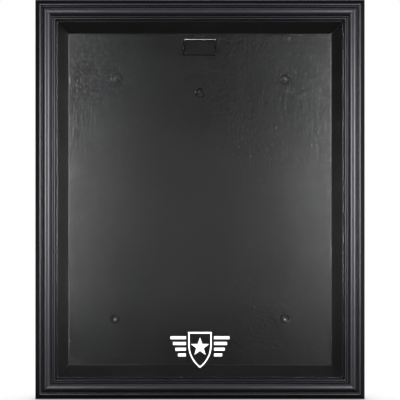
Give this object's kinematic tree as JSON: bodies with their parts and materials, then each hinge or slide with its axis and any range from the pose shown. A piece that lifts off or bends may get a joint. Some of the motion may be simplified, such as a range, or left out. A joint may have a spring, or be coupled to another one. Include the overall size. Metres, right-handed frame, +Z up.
{
  "type": "wall display case",
  "caption": "Shallow wall display case for a jersey: a moulded tray with a rod hook and wall screw holes, closed by a hinged, glazed moulding frame.",
  "frame": {"origin": "on the wall plane at the back of the tray, midway between the four wall screws", "axes": "+X right as seen from the front, +Z up, +Y into the wall; the front faces -Y"},
  "size_m": [0.88, 0.089, 1.067],
  "materials": {
    "lacquered_wood": "satin black lacquer",
    "tray_plastic": "moulded with a pebble grain",
    "clear_acrylic": "clear and polished",
    "white_print": "opaque white film",
    "stop_plastic": "extruded, matt black",
    "hinge_steel": "black e-coat",
    "screw_steel": "zinc plated",
    "zinc_steel": "bright zinc",
    "nickel_plate": "nickel plated",
    "magnet_nickel": "dull nickel",
    "bumper_rubber": "matt"
  },
  "bodies": {
    "case": {"back_tray": "tray_plastic", "upper_hinge_case_leaf": "hinge_steel", "middle_hinge_case_leaf": "hinge_steel", "lower_hinge_case_leaf": "hinge_steel", "upper_hinge_pin": "hinge_steel", "middle_hinge_pin": "hinge_steel", "lower_hinge_pin": "hinge_steel", "case_hinge_screws": "screw_steel", "upper_magnet_cup": "nickel_plate", "lower_magnet_cup": "nickel_plate", "upper_catch_magnet": "magnet_nickel", "lower_catch_magnet": "magnet_nickel", "door_bumpers": "bumper_rubber"},
    "door": {"top_rail": "lacquered_wood", "bottom_rail": "lacquered_wood", "left_stile": "lacquered_wood", "right_stile": "lacquered_wood", "mitre_nails": "zinc_steel", "clear_front": "clear_acrylic", "emblem_decal": "white_print", "top_stop": "stop_plastic", "bottom_stop": "stop_plastic", "left_stop": "stop_plastic", "right_stop": "stop_plastic", "stop_brads": "zinc_steel", "upper_hinge_door_leaf": "hinge_steel", "middle_hinge_door_leaf": "hinge_steel", "lower_hinge_door_leaf": "hinge_steel", "door_hinge_screws": "screw_steel", "upper_strike_plate": "zinc_steel", "lower_strike_plate": "zinc_steel", "strike_screws": "screw_steel"}
  },
  "joints": [
    {"name": "door_swing", "type": "hinge", "parent": "case", "child": "door", "pos_m": [-0.4365, -0.05685, 0], "axis": [0, 0, -1], "range_deg": [0, 110]}
  ]
}
